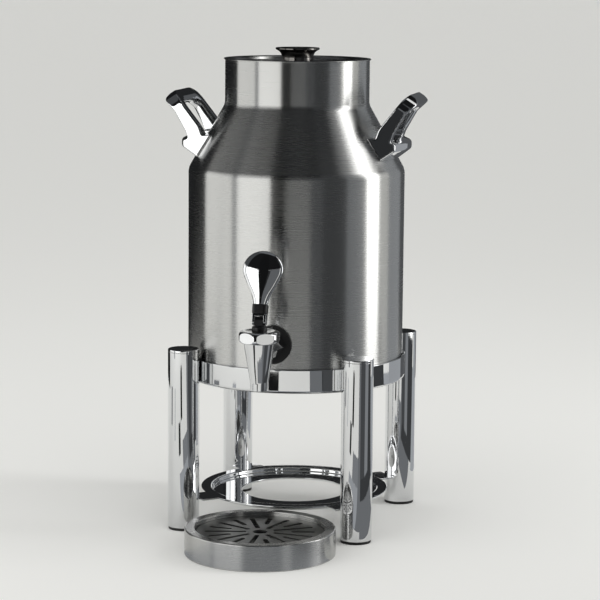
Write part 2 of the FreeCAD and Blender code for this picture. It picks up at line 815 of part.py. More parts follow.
def valve_stem():
    """Stem with a tail in the cup, a spring flange and a drilled block at the pivot."""
    flange_low = cup_low() + cup_height + slip_gap
    flange_top = flange_low + stem_flange_thickness
    tail = flange_low - stem_tail_length + slip_gap
    block_low = guide_low() + guide_height + soft_gap
    rod = turned([(0, tail), (stem_tail_r, tail), (stem_tail_r, flange_low), (stem_flange_r, flange_low),
                  (stem_flange_r, flange_top), (stem_r, flange_top), (stem_r, block_low + stem_r),
                  (0, block_low + stem_r)])
    rod = rod.translated(tap_point(spout_y, 0))
    half = stem_block_width / 2
    top = pivot_up + stem_block_r
    side = [(-stem_block_r, block_low), (stem_block_r, block_low), (stem_block_r, top, stem_block_r * full_round),
            (-stem_block_r, top, stem_block_r * full_round)]
    block = Part.Face(rounded_wire(side, in_yz)).extrude(FreeCAD.Vector(stem_block_width, 0, 0))
    block = block.translated(tap_point(spout_y, 0) - FreeCAD.Vector(half, 0, 0))
    pin_hole = cylinder(pivot_pin_r + running_gap, 2 * fork_width, tap_point(spout_y, pivot_up)
                        - FreeCAD.Vector(fork_width, 0, 0), FreeCAD.Vector(1, 0, 0))
    return one_solid(rod.fuse(block).cut(pin_hole))


def valve_spring():
    """Closing spring between the stem's flange and the bonnet: quarter-turn arcs along a helix."""
    low = cup_low() + cup_height + slip_gap + stem_flange_thickness + spring_wire_r + rest_gap
    web_low = chamber_top_up + bonnet_height - bonnet_dish_depth - bonnet_web
    rise = web_low - spring_wire_r - rest_gap - low
    steps = spring_turns * 8

    def on_helix(k):
        angle = 2 * math.pi * k / 8
        return FreeCAD.Vector(spring_r * math.cos(angle), spring_r * math.sin(angle), low + rise * k / steps)

    arcs = [Part.Arc(on_helix(k), on_helix(k + 1), on_helix(k + 2)).toShape() for k in range(0, steps, 2)]
    path = Part.Wire(arcs)
    along = arcs[0].tangentAt(arcs[0].FirstParameter)
    wire = Part.Wire(Part.Circle(on_helix(0), along, spring_wire_r).toShape())
    spring = path.makePipeShell([wire], True, False)
    turn = 2 * math.pi * spring_r
    pitch = rise / spring_turns
    gap = pitch * turn / math.hypot(turn, pitch) - 2 * spring_wire_r
    print("spring: least gap between turns %.2f mm" % gap)
    return spring.translated(tap_point(spout_y, 0))


def lever_placed(shape):
    """Lever piece, drawn upright about its pivot, leaned back and moved to the tap."""
    turn = FreeCAD.Rotation(FreeCAD.Vector(1, 0, 0), -lever_lean)
    return shape.transformed(FreeCAD.Placement(FreeCAD.Vector(0, spout_y, pivot_z), turn).toMatrix())


def bridge_low():
    """Underside of the fork's bridge above the pivot."""
    return stem_block_r + soft_gap


def collar_low():
    """Underside of the lever's collar above the pivot."""
    return bridge_low() + fork_bridge


def lever_fork():
    """Chromed fork that straddles the stem, with a stud for the paddle."""
    half = fork_width / 2
    side = [(-fork_ear_r, -fork_ear_r, fork_ear_r * full_round), (fork_ear_r, -fork_ear_r, fork_ear_r * full_round),
            (fork_depth / 2, collar_low()), (-fork_depth / 2, collar_low())]
    block = Part.Face(rounded_wire(side, in_yz)).extrude(FreeCAD.Vector(fork_width, 0, 0))
    block = block.translated(FreeCAD.Vector(-half, 0, 0))
    slot = Part.makeBox(fork_slot, 4 * fork_depth, bridge_low() + 3 * fork_ear_r,
                        FreeCAD.Vector(-fork_slot / 2, -2 * fork_depth, -3 * fork_ear_r))
    stud = cylinder(fork_stud_r, fork_stud_length, FreeCAD.Vector(0, 0, collar_low() - fork_stud_root))
    start = FreeCAD.Vector(-fork_width, 0, 0)
    hole = cylinder(pivot_pin_r + pin_slip, 2 * fork_width, start, FreeCAD.Vector(1, 0, 0))
    return lever_placed(one_solid(block.fuse(stud).cut(slot).cut(hole)))


def pivot_pin():
    """Pin through the fork and the stem's block."""
    return lever_placed(cylinder(pivot_pin_r, fork_width, FreeCAD.Vector(-fork_width / 2, 0, 0),
                                 FreeCAD.Vector(1, 0, 0)))


def lever_collar():
    """Black collar between the fork and the paddle."""
    a = collar_width / 2
    b = collar_depth / 2
    outline = [(-a, -b, collar_corner_r), (a, -b, collar_corner_r),
               (a, b, collar_corner_r), (-a, b, collar_corner_r)]
    collar = Part.Face(rounded_wire(outline, in_xy)).extrude(UP * collar_length)
    collar = collar.translated(UP * collar_low())
    return lever_placed(one_solid(collar.cut(cylinder(fork_stud_r + slip_gap, 2 * fork_stud_length, ORIGIN))))


def oval(up, half_width, half_depth):
    """Closed oval section across the lever."""
    if half_width >= half_depth:
        curve = Part.Ellipse(FreeCAD.Vector(0, 0, up), half_width, half_depth)
        return Part.Wire(curve.toShape())
    curve = Part.Ellipse(FreeCAD.Vector(0, half_depth, up), FreeCAD.Vector(-half_width, 0, up),
                         FreeCAD.Vector(0, 0, up))
    return Part.Wire(curve.toShape())


def tap_paddle():
    """Polished paddle: a narrow foot that swells to a rounded, lens-like blade."""
    low = collar_low() + collar_length
    widest = paddle_length - paddle_widest_down
    sections = []
    for k in range(6):
        share = k / 5
        ease = (1 - math.cos(math.pi * share)) / 2
        swell = paddle_foot_width + (paddle_width - paddle_foot_width) * (ease + paddle_flare * (share - ease))
        depth = paddle_foot_depth + (paddle_depth - paddle_foot_depth) * ease
        sections.append(oval(low + widest * share, swell / 2, depth / 2))
    for angle in (22, 42, 58, 71, 81, 87):
        rise = math.sin(math.radians(angle))
        reach = math.cos(math.radians(angle))
        sections.append(oval(low + widest + paddle_widest_down * rise, paddle_width / 2 * reach,
                             paddle_depth / 2 * reach))
    paddle = Part.makeLoft(sections, True, False)
    hole = cylinder(fork_stud_r + slip_gap, low + paddle_stud_depth, ORIGIN)
    return lever_placed(one_solid(paddle.cut(hole)))


# Drip tray

def grate_top():
    """Height of the grate's upper face."""
    return tray_height - grate_drop


def grate_seat_r():
    """Radius of the tray's inner wall, round the grate."""
    return tray_r - tray_rim_width


def tray_ledge_top():
    """Height of the ledge under the grate."""
    return grate_top() - grate_sheet - rest_gap


def tray_rim():
    """Brushed outside of the tray: skirt, flat rim and the ledge that carries the grate."""
    inner = grate_seat_r()
    ledge = tray_ledge_top()
    path = [(tray_r, 0), (tray_r, tray_height, tray_edge_r), (inner, tray_height, tray_edge_r),
            (inner, ledge, tray_seat_edge_r), (inner - tray_ledge, ledge)]
    return turned(sheet_corners(path, tray_sheet)).translated(FreeCAD.Vector(0, tray_y, 0))


def tray_pan():
    """Shallow pan for the drips, hung by its flange from the underside of the ledge."""
    inner = grate_seat_r()
    well = inner - tray_ledge
    flange = tray_ledge_top() - tray_sheet
    path = [(inner, flange), (well, flange, tray_edge_r), (well, tray_floor_up, tray_floor_r),
            (0, tray_floor_up)]
    return turned(sheet_corners(path, tray_sheet)).translated(FreeCAD.Vector(0, tray_y, 0))


def slot_prism(start, end, angle):
    """Round-ended slot cutter that runs outwards from the grate's middle."""
    half = grate_slot_width / 2
    round_r = half * full_round
    outline = [(start, -half, round_r), (end, -half, round_r), (end, half, round_r), (start, half, round_r)]
    prism = Part.Face(rounded_wire(outline, in_xy)).extrude(UP * grate_sheet)
    return prism.rotated(ORIGIN, UP, angle)


def drip_grate():
    """Grate with long and short radial slots in turn round a finger hole."""
    low = grate_top() - grate_sheet
    grate = cylinder(grate_seat_r() - grate_slip, grate_sheet)
    cutters = [cylinder(grate_hole_r, grate_sheet)]
    for k in range(grate_slot_count):
        angle = grate_turn + 360.0 / grate_slot_count * k
        if k % 2 == 0:
            cutters.append(slot_prism(grate_long_start, grate_long_end, angle))
        else:
            cutters.append(slot_prism(grate_short_start, grate_short_end, angle))
    grate = grate.cut(Part.makeCompound(cutters))
    return one_solid(grate).translated(FreeCAD.Vector(0, tray_y, low))


def all_nodes():
    """Every piece of the object by name: a solid, or a list of like solids."""
    nodes = {}
    for name, direction in zip(leg_names, leg_directions()):
        nodes["leg_" + name] = leg_tube(direction)
        nodes["leg_cap_" + name] = leg_cap(direction)
        nodes["foot_pad_" + name] = foot_pad(direction)
    makers = [support_band, band_screws, burner_plate, urn_shell, urn_base, handle_left, handle_right,
              handle_screws, handle_washers, lid_plate, lid_collar, lid_knob, knob_washer, knob_screw,
              tap_gasket, tap_body, tap_inner_washer, tap_lock_nut, tap_bonnet, stem_guide, seat_cup,
              valve_stem, valve_spring, lever_fork, pivot_pin, lever_collar, tap_paddle, tray_rim, tray_pan,
              drip_grate]
    for maker in makers:
        nodes[maker.__name__] = maker()
    return nodes


def as_shape(piece):
    """One shape of a piece, which may be a list of like solids."""
    return Part.makeCompound(piece) if isinstance(piece, list) else piece


def main():
    """Build every piece, centre the object over the origin and write one file per piece."""
    os.makedirs("parts", exist_ok=True)
    shapes = {name: as_shape(piece) for name, piece in all_nodes().items()}
    boxes = [shape.optimalBoundingBox(False, False) for shape in shapes.values()]
    middle_x = (min(b.XMin for b in boxes) + max(b.XMax for b in boxes)) / 2
    middle_y = (min(b.YMin for b in boxes) + max(b.YMax for b in boxes)) / 2
    print("urn axis after centring: x %.4f y %.4f" % (-middle_x, -middle_y))
    for name, shape in shapes.items():
        moved = shape.translated(FreeCAD.Vector(-middle_x, -middle_y, 0))
        if not moved.isValid() or moved.Volume <= 0:
            print("not a sound solid:", name)
        moved.exportStep("parts/" + name + ".step")


main()
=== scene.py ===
import bpy
import math
from mathutils import Matrix, Vector


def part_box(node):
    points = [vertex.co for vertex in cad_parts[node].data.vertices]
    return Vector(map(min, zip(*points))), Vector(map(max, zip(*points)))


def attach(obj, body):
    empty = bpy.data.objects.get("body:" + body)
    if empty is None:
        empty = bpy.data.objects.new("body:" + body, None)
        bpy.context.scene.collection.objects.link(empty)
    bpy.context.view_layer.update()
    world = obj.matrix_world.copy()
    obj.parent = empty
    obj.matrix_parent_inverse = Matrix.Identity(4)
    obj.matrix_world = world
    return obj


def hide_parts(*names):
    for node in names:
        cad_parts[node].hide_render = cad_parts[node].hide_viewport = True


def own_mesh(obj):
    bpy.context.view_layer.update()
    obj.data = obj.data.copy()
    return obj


bl_info = {
    "name": "Hot water urn",
    "version": (1, 0, 0),
    "blender": (4, 5, 0),
    "location": "View3D > Sidebar > Urn",
    "description": "Models the urn's visible pieces over its packed frame and sets up a plain studio",
    "category": "Object",
}

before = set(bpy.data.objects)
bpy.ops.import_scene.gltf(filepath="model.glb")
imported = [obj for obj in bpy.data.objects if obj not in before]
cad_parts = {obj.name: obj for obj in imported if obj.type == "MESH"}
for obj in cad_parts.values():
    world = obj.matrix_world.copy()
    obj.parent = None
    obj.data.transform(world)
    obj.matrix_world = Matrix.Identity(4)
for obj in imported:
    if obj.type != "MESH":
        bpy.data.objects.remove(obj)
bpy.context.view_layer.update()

MM = 0.001
SAME_PLACE = 0.002 * MM     # points nearer than this are one point
LEGS = ("front_left", "front_right", "back_right", "back_left")


def centre_of(node):
    """Point on the table under the middle of a frame node."""
    low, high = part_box(node)
    return Vector(((low.x + high.x) / 2, (low.y + high.y) / 2, 0))


def radius_of(node):
    """Radius of a round frame node."""
    low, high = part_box(node)
    return (high.x - low.x) / 2


def heights_of(node):
    """Heights of a frame node's underside and top."""
    low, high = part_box(node)
    return low.z, high.z


AXIS = centre_of("urn_shell")


def linear(code):
    """Linear red, green, blue and alpha of an sRGB hex colour."""
    channels = [int(code[k:k + 2], 16) / 255 for k in (1, 3, 5)]
    return [c / 12.92 if c <= 0.04045 else ((c + 0.055) / 1.055) ** 2.4 for c in channels] + [1.0]


def colour(name, description, code):
    """Colour property with a hex default."""
    return bpy.props.FloatVectorProperty(name=name, description=description, subtype="COLOR",
                                         size=4, min=0, max=1, default=linear(code))


def length(name, description, millimetres):
    """Length property with its default in millimetres."""
    return bpy.props.FloatProperty(name=name, description=description, unit="LENGTH",
                                   default=millimetres * MM)


def angle(name, description, degrees):
    """Angle property with its default in degrees."""
    return bpy.props.FloatProperty(name=name, description=description, unit="ROTATION",
                                   default=math.radians(degrees))


def count(name, description, number):
    """Whole number property."""
    return bpy.props.IntProperty(name=name, description=description, default=number, min=1)


class UrnSizes(bpy.types.PropertyGroup):
    """Sizes of the forms that the frame's boxes don't give"""
    shell_wall: length("Shell wall", "Thickness of the urn's wall", 1.2)
    body_height: length("Body height", "From the base seam to the start of the shoulder", 219.0)
    shoulder_height: length("Shoulder height", "From the body to the neck", 68.0)
    neck_radius: length("Neck radius", "Outer radius of the neck", 76.5)
    shoulder_blend: length("Shoulder blend", "Radius of the bend at the foot of the shoulder", 14.0)
    neck_blend: length("Neck blend", "Radius of the bend at the foot of the neck", 12.0)
    lid_sheet: length("Lid sheet", "Thickness of the lid", 1.2)
    lid_rim: length("Lid rim", "Width of the lid's flat rim", 9.0)
    lid_recess: length("Lid recess", "Depth of the lid's dished middle", 4.0)
    lid_slope: length("Lid slope", "Width of the slope into the lid's middle", 2.5)
    lid_bend: length("Lid bend", "Radius of the bends at the slope's head and foot", 1.8)
    knob_base: length("Knob base", "Radius of the knob's foot", 17.0)
    knob_waist: length("Knob waist", "Radius of the knob under its flare", 16.4)
    knob_flare: length("Knob flare", "Height of the flare with the rim", 5.6)
    knob_cove: length("Knob cove", "Radius of the hollow under the knob's rim", 7.5)
    knob_rim: length("Knob rim", "Height of the knob's thin rim", 1.8)
    knob_lip: length("Knob lip", "Width of the flat lip on top of the knob", 3.3)
    knob_cup: length("Knob cup", "Depth of the knob's hollow top", 1.2)
    bonnet_turn: angle("Bonnet turn", "How far the tightened bonnet's corners lie from the frame's", 30.0)
    stem_travel: length("Stem travel", "How far the stem lifts, and the spring shortens", 4.0)
    leg_wall: length("Leg wall", "Wall of the stand's tubes", 2.0)
    cap_plug: length("Cap plug", "How far a leg's cap reaches into the tube", 6.0)
    cap_edge: length("Cap edge", "Rounding of a cap's upper edge", 0.9)
    pad_inset: length("Pad inset", "How far a foot pad stands back from the tube", 0.6)
    band_wall: length("Band wall", "Thickness of the stand's band", 2.4)
    band_ledge: length("Band ledge", "Width of the ledge under the urn", 12.0)
    band_bend: length("Band bend", "Radius of the band's lower edge", 3.4)
    plate_radius: length("Plate radius", "Outer radius of the burner plate's rim", 100.8)
    plate_recess: length("Plate recess", "Radius of the plate's step", 88.7)
    plate_drop: length("Plate drop", "Depth of the plate's step", 4.5)
    plate_sheet: length("Plate sheet", "Thickness of the burner plate", 2.0)
    plate_hole: length("Plate hole", "Radius of the burner hole", 56.5)
    tab_width: length("Tab width", "Width of the plate's tabs", 31.0)
    tray_rim: length("Tray rim", "Width of the tray's flat rim", 10.5)
    tray_sheet: length("Tray sheet", "Thickness of the tray", 1.2)
    tray_ledge: length("Tray ledge", "Width of the ledge under the grate", 4.0)
    tray_floor: length("Tray floor", "Height of the tray's floor", 4.0)
    tray_bend: length("Tray bend", "Radius of the bend round the tray's floor", 3.0)
    soft_edge: length("Soft edge", "Width of the polished rounding on an edge", 0.5)
    handle_arm: length("Handle arm", "Width of each arm of the cast handles", 16.0)
    handle_bar: length("Handle bar", "Depth of the handles' top bar", 13.5)
    handle_foot: length("Handle foot", "Height of the handles' saddle foot", 26.0)
    handle_lean: angle("Handle lean", "Lean of the handles from upright", 33.0)
    handle_window_edge: length("Handle window edge", "Rounding of the finger gap's edges", 6.0)
    handle_grain: length("Handle grain", "Mesh size of the cast handles", 0.7)
    handle_buffing: count("Handle buffing", "Steps that buff the handles' edges round", 14)
    wide_steps: count("Wide steps", "Facets round the urn's wall, the band and the burner plate", 256)
    round_steps: count("Round steps", "Facets round the lid and the tray", 160)
    slim_steps: count("Slim steps", "Facets round a leg or the knob", 96)
    foot_steps: count("Foot steps", "Facets round a foot pad", 64)


class UrnColours(bpy.types.PropertyGroup):
    """Colours of the finishes"""
    steel: colour("Brushed steel", "Body, lid and tray", "#C2C2C0")
    steel_dark: colour("Dark brushed steel", "Grate", "#8C8C8A")
    chrome: colour("Chrome", "Stand, tap and handles", "#E4E5E6")
    knob: colour("Dark polish", "Lid knob", "#6E6C69")
    zinc: colour("Zinc", "Screws, nut and washers", "#B4B4AF")
    rubber: colour("Rubber", "Gasket and feet", "#101010")
    plastic: colour("Plastic", "Stem, guide and collar", "#0B0B0C")
    silicone: colour("Silicone", "Seat cup and inner washer", "#D9D8D0")
    floor: colour("Floor", "The plain pale floor", "#FBFBF9")
    surround: colour("Surround", "The pale light all round", "#F2F2F0")


class UrnStage(bpy.types.PropertyGroup):
    """Camera and light"""
    camera_turn: angle("Camera turn", "Camera's place round the urn, from the tap towards the right", 11.7)
    camera_distance: length("Camera distance", "Level distance from the urn's axis", 2450)
    camera_height: length("Camera height", "Height above the table", 601)
    camera_pitch: angle("Camera pitch", "Downward tilt", 8.48)
    camera_roll: angle("Camera roll", "Tilt about the line of sight", 0.48)
    camera_aim: length("Camera aim", "How far the camera aims to the right of the axis", 4.7)
    lens: bpy.props.FloatProperty(name="Lens", default=138.4, min=1,
                                  description="Focal length in millimetres on a 36 mm sensor")
    floor_radius: length("Floor radius", "How far the floor reaches", 60000)
    surround_light: bpy.props.FloatProperty(name="Surround light", default=0.75, min=0,
                                            description="Strength of the pale light all round")


def sizes():
    """The size settings of this scene."""
    return bpy.context.scene.urn_sizes


def colours():
    """The colour settings of this scene."""
    return bpy.context.scene.urn_colours


# Modelling helpers

def clear_selection():
    """Deselect every object, since an operator acts on all that is selected."""
    for obj in bpy.context.selected_objects:
        obj.select_set(False)


def activate(obj):
    """Make one object the only selected and active one."""
    clear_selection()
    obj.select_set(True)
    bpy.context.view_layer.objects.active = obj


def select_vertices(obj, wanted):
    """In edit mode, select just the vertices whose place passes a test."""
    bpy.ops.mesh.select_mode(type="VERT")
    bpy.ops.mesh.select_all(action="DESELECT")
    bpy.ops.object.mode_set(mode="OBJECT")
    for vertex in obj.data.vertices:
        vertex.select = wanted(vertex.co + obj.location)
    bpy.ops.object.mode_set(mode="EDIT")


def draw_section(name, points, centre, closed):
    """Draw half a section in the XZ plane, one extruded point after another, then round its corners.
    A point is its distance from the centre and its height, with a radius where its corner is rounded."""
    facet = 0.2     # radians of a rounded corner to one facet
    clear_selection()
    places = [centre + Vector((p[0], 0, p[1])) for p in points]
    bpy.ops.mesh.primitive_plane_add(size=MM, location=places[0])
    obj = bpy.context.object
    obj.name = name
    obj.data.name = name
    bpy.ops.object.mode_set(mode="EDIT")
    bpy.ops.mesh.select_mode(type="VERT")
    bpy.ops.mesh.merge(type="CENTER")
    for start, end in zip(places, places[1:]):
        bpy.ops.mesh.extrude_vertices_move(TRANSFORM_OT_translate={"value": end - start})
    if closed:
        bpy.ops.mesh.select_all(action="SELECT")
        bpy.ops.mesh.edge_face_add()
        bpy.ops.mesh.delete(type="ONLY_FACE")
    last = len(points) - 1
    for i, point in enumerate(points):
        if len(point) < 3 or (not closed and i in (0, last)):
            continue
        before = (places[i] - places[i - 1]).normalized()
        after = (places[(i + 1) % len(places)] - places[i]).normalized()
        turn = before.angle(after)
        select_vertices(obj, lambda place: (place - places[i]).length < SAME_PLACE / 2)
        bpy.ops.mesh.bevel(offset=point[2] * math.tan(turn / 2), segments=max(3, round(turn / facet)),
                           affect="VERTICES")
    return obj


def turned(name, points, centre=AXIS, closed=True, steps=None, wall=0.0):
    """Turned piece: a drawn section spun all the way round, given a wall if it is a sheet."""
    obj = draw_section(name, points, centre, closed)
    bpy.ops.mesh.select_all(action="SELECT")
    bpy.ops.mesh.spin(steps=steps or sizes().round_steps, angle=2 * math.pi, center=centre,
                      axis=(0, 0, 1))
    bpy.ops.mesh.select_all(action="SELECT")
    bpy.ops.mesh.remove_doubles(threshold=SAME_PLACE)
    bpy.ops.mesh.normals_make_consistent(inside=False)
    bpy.ops.object.mode_set(mode="OBJECT")
    bpy.ops.object.transform_apply(location=True, rotation=True, scale=True)
    if wall:
        modifier = obj.modifiers.new("wall", "SOLIDIFY")
        modifier.thickness = wall
        modifier.offset = -1
        bpy.ops.object.modifier_apply(modifier=modifier.name)
    return smoothed(obj)


def smoothed(obj, degrees=32):
    """Shade a piece smooth up to an angle, with its broad faces kept flat."""
    activate(obj)
    bpy.ops.object.shade_smooth_by_angle(angle=math.radians(degrees))
    modifier = obj.modifiers.new("flat faces", "WEIGHTED_NORMAL")
    modifier.keep_sharp = True
    modifier.weight = 80
    bpy.ops.object.modifier_apply(modifier=modifier.name)
    return obj


def soften(obj, width, segments=3, degrees=28):
    """Round every edge that is sharper than an angle, as polishing does."""
    activate(obj)
    modifier = obj.modifiers.new("soft edges", "BEVEL")
    modifier.width = width
    modifier.segments = segments
    modifier.limit_method = "ANGLE"
    modifier.angle_limit = math.radians(degrees)
    bpy.ops.object.modifier_apply(modifier=modifier.name)
    return obj


def cast_from(node, name, width, flat=2.0, segments=3):
    """Piece worked up from a copy of a frame node: triangles merged to faces, edges softened."""
    activate(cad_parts[node])
    bpy.ops.object.duplicate()
    obj = bpy.context.object
    obj.name = name
    obj.data.name = name
    for key in [k for k in obj.keys() if k.startswith("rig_")]:
        del obj[key]
    obj.parent = None
    obj.data.materials.clear()
    bpy.ops.object.mode_set(mode="EDIT")
    bpy.ops.mesh.select_all(action="SELECT")
    bpy.ops.mesh.customdata_custom_splitnormals_clear()
    bpy.ops.mesh.remove_doubles(threshold=SAME_PLACE)
    bpy.ops.mesh.dissolve_limited(angle_limit=math.radians(flat))
    bpy.ops.object.mode_set(mode="OBJECT")
    if width:
        soften(obj, width, segments)
    return smoothed(obj)


def copied(obj, name, shift):
    """Copy of a piece with its own mesh, moved within that mesh."""
    activate(obj)
    bpy.ops.object.duplicate()
    twin = bpy.context.object
    twin.name = name
    twin.data.name = name
    bpy.ops.transform.translate(value=shift)
    bpy.ops.object.transform_apply(location=True, rotation=True, scale=True)
    return twin


def fit(obj, body, nodes, material):
    """Give a finished piece its material, its body and the frame nodes that it stands for."""
    obj.data.materials.clear()
    obj.data.materials.append(material)
    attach(obj, body)
    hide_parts(*nodes)


def dress(nodes, material):
    """Give frame nodes whose shape is right a better material."""
    for node in nodes:
        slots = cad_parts[node].material_slots
        if not slots:
            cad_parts[node].data.materials.append(material)
        for slot in slots:
            slot.material = material


# Materials

def add(tree, kind, inputs=None, **settings):
    """Add a node with its settings, its input values and its links."""
    node = tree.nodes.new(kind)
    for key, value in settings.items():
        setattr(node, key, value)
    for key, value in (inputs or {}).items():
        if isinstance(value, bpy.types.NodeSocket):
            tree.links.new(value, node.inputs[key])
        else:
            node.inputs[key].default_value = value
    return node


def blank_material(name):
    """New node material and its empty tree, or no tree when the material is already made."""
    if name in bpy.data.materials:
        return bpy.data.materials[name], None
    material = bpy.data.materials.new(name)
    material.use_nodes = True
    material.node_tree.nodes.clear()
    return material, material.node_tree


def per_metre(millimetres):
    """Scale of a pattern whose repeat has this real size."""
    return 1 / (millimetres * MM)


def brushed(name, tint, grain_size, roughness, anisotropy, turn):
    """Stainless steel, 304, rubbed round the piece with an abrasive belt. The scratches lie round the axis,
    so the eye sees upright bands of light that are sharp sideways and drawn out along the axis, under a fine
    grain. The grain's size is in millimetres along X, Y and Z. It is drawn 1.2 mm wide, since the real 0.1 mm
    scratches are finer than the picture."""
    material, tree = blank_material(name)
    if tree is None:
        return material
    grain_range = {"From Min": 0.3, "From Max": 0.7}
    scatter, patchiness = 0.008, 0.02
    place = add(tree, "ShaderNodeTexCoord").outputs["Object"]
    scale = [per_metre(size) for size in grain_size]
    stretched = add(tree, "ShaderNodeMapping", {"Vector": place, "Scale": scale})
    grain = add(tree, "ShaderNodeTexNoise", {"Vector": stretched.outputs[0], "Scale": 1.0, "Detail": 3.0,
                                             "Roughness": 0.6}).outputs["Fac"]
    cloud = add(tree, "ShaderNodeTexNoise", {"Vector": place, "Scale": per_metre(70), "Detail": 2.0})
    shade = add(tree, "ShaderNodeMapRange", {"Value": grain, **grain_range, "To Min": 0.985, "To Max": 1.005})
    tinted = add(tree, "ShaderNodeMix", {"Factor": 1.0, "A": tint, "B": shade.outputs[0]},
                 data_type="RGBA", blend_type="MULTIPLY")
    rough = add(tree, "ShaderNodeMapRange", {"Value": grain, **grain_range, "To Min": roughness - scatter,
                                             "To Max": roughness + scatter})
    patch = add(tree, "ShaderNodeMapRange", {"Value": cloud.outputs["Fac"], "To Min": -patchiness,
                                             "To Max": patchiness})
    total = add(tree, "ShaderNodeMath", {0: rough.outputs[0], 1: patch.outputs[0]}, operation="ADD")
    bump = add(tree, "ShaderNodeBump", {"Height": grain, "Strength": 0.002, "Distance": 0.2 * MM})
    tangent = add(tree, "ShaderNodeTangent", direction_type="RADIAL", axis="Z")
    shader = add(tree, "ShaderNodeBsdfPrincipled",
                 {"Base Color": tinted.outputs["Result"], "Metallic": 1.0, "Roughness": total.outputs[0],
                  "Anisotropic": anisotropy, "Anisotropic Rotation": turn, "Tangent": tangent.outputs[0],
                  "Normal": bump.outputs[0]})
    add(tree, "ShaderNodeOutputMaterial", {"Surface": shader.outputs[0]})
    return material


def polished(name, tint, roughness, haze):
    """Nickel-chromium plate over a buffed casting or tube: a mirror with slightly cloudy spots, 17 mm across,
    that the buff leaves."""
    material, tree = blank_material(name)
    if tree is None:
        return material
    place = add(tree, "ShaderNodeTexCoord").outputs["Object"]
    cloud = add(tree, "ShaderNodeTexNoise", {"Vector": place, "Scale": per_metre(17), "Detail": 3.0})
    rough = add(tree, "ShaderNodeMapRange", {"Value": cloud.outputs["Fac"], "From Min": 0.35,
                                             "From Max": 0.75, "To Min": roughness,
                                             "To Max": roughness + haze})
    shader = add(tree, "ShaderNodeBsdfPrincipled", {"Base Color": tint, "Metallic": 1.0,
                                                    "Roughness": rough.outputs[0]})
    add(tree, "ShaderNodeOutputMaterial", {"Surface": shader.outputs[0]})
    return material


def moulded(name, tint, roughness, grain_size, ior):
    """Moulded rubber or plastic: dark or milky, with a faint grain that breaks up its sheen. The grain's size
    is in millimetres."""
    material, tree = blank_material(name)
    if tree is None:
        return material
    place = add(tree, "ShaderNodeTexCoord").outputs["Object"]
    grain = add(tree, "ShaderNodeTexNoise", {"Vector": place, "Scale": per_metre(grain_size), "Detail": 2.0})
    scatter = 0.06
    rough = add(tree, "ShaderNodeMapRange", {"Value": grain.outputs["Fac"], "To Min": roughness - scatter,
                                             "To Max": roughness + scatter})
    bump = add(tree, "ShaderNodeBump", {"Height": grain.outputs["Fac"], "Strength": 0.15,
                                        "Distance": grain_size * MM / 4})
    shader = add(tree, "ShaderNodeBsdfPrincipled", {"Base Color": tint, "Roughness": rough.outputs[0],
                                                    "IOR": ior, "Normal": bump.outputs[0]})
    add(tree, "ShaderNodeOutputMaterial", {"Surface": shader.outputs[0]})
    return material


def body_steel():
    """Body finish: grain lines 125 mm long and 1.2 mm apart lie level round the wall."""
    return brushed("stainless_belt_brushed", colours().steel, (125, 125, 1.18), 0.27, 0.95, 0.25)


def lid_steel():
    """Lid finish, turned round its centre."""
    return brushed("stainless_lid_turned", colours().steel, (17, 17, 1.18), 0.26, 0.5, 0.25)


def tray_steel():
    """Drip tray finish, brushed round its rim and skirt."""
    return brushed("stainless_tray_brushed", colours().steel, (50, 50, 1.18), 0.27, 0.93, 0.25)


def grate_steel():
    """Grate finish, brushed one way and a little darker."""
    return brushed("stainless_grate_brushed", colours().steel_dark, (50, 1.4, 50), 0.34, 0.3, 0.0)


def chrome():
    """Bright chrome plate of the stand, tap and handles."""
    return polished("chrome_plate_polished", colours().chrome, 0.02, 0.03)


def knob_steel():
    """Turned and polished stainless knob, darker than the chrome."""
    return polished("stainless_knob_polished", colours().knob, 0.08, 0.08)


def zinc():
    """Zinc-plated hardware, satin."""
    return polished("zinc_plate_satin", colours().zinc, 0.32, 0.12)


def rubber():
    """EPDM rubber, moulded and matt."""
    return moulded("epdm_rubber_matt", colours().rubber, 0.62, 0.6, 1.52)


def plastic():
    """Acetal, moulded, with a satin sheen."""
    return moulded("acetal_satin", colours().plastic, 0.34, 0.8, 1.48)


def silicone():
    """Silicone rubber, milky and soft."""
    return moulded("silicone_milky", colours().silicone, 0.5, 0.6, 1.41)


# Pieces

class UrnShellBuild(bpy.types.Operator):
    """Spin the urn's wall: straight body, conical shoulder and neck"""
    bl_idname = "urn.shell"
    bl_label = "Shell"

    def execute(self, context):
        s = sizes()
        radius = radius_of("urn_shell")
        low, high = heights_of("urn_shell")
        shoulder = low + s.body_height
        neck = shoulder + s.shoulder_height
        wall = [(radius, low), (radius, shoulder, s.shoulder_blend),
                (s.neck_radius, neck, s.neck_blend), (s.neck_radius, high)]
        shell = turned("shell", wall, closed=False, steps=s.wide_steps, wall=s.shell_wall)
        fit(shell, "urn", ["urn_shell"], body_steel())
        dress(["urn_base"], body_steel())
        return {"FINISHED"}


